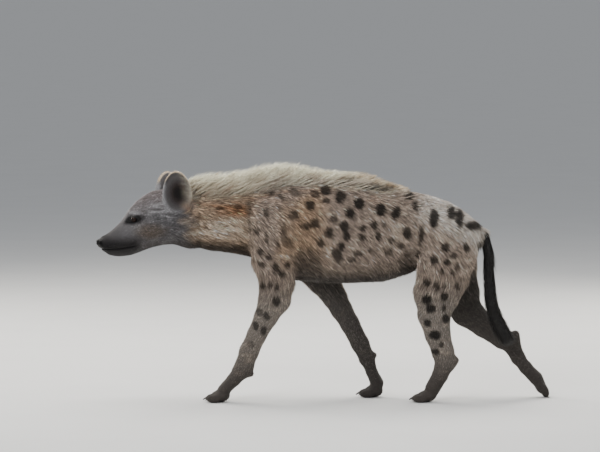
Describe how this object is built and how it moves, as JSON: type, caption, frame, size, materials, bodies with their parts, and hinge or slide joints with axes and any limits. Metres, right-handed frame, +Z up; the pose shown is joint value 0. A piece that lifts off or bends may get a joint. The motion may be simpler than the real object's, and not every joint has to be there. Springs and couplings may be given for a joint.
{
  "type": "spotted hyena",
  "caption": "Life-size spotted hyena in mid stride: low head, rounded ears, sloping back, short mane, spotted coat and hanging tail.",
  "frame": {"origin": "centre of the bounding box in plan, at the height of the soles", "axes": "+Z up; the animal faces -X, its left side is -Y"},
  "size_m": [1.591, 0.2816, 0.8387],
  "materials": {
    "head_coat": "short grey-brown hair, darker on the muzzle",
    "neck_coat": "brown hair with a pale mane",
    "body_coat": "coarse grey-brown hair with dark brown spots",
    "leg_coat": "short grey hair, darker towards the paws",
    "paw_coat": "short dark hair, blunt dark claws",
    "ear_coat": "very short dark hair with a pale rim",
    "tail_hair": "long black hair",
    "eye": "wet and glossy"
  },
  "bodies": {
    "root": {"head": "head_coat", "ear_left": "ear_coat", "ear_right": "ear_coat", "eye_left": "eye", "eye_right": "eye", "neck": "neck_coat", "torso": "body_coat", "tail": "tail_hair", "leg_front_left": "leg_coat", "leg_front_right": "leg_coat", "leg_hind_left": "leg_coat", "leg_hind_right": "leg_coat", "paw_front_left": "paw_coat", "paw_front_right": "paw_coat", "paw_hind_left": "paw_coat", "paw_hind_right": "paw_coat"}
  },
  "joints": []
}
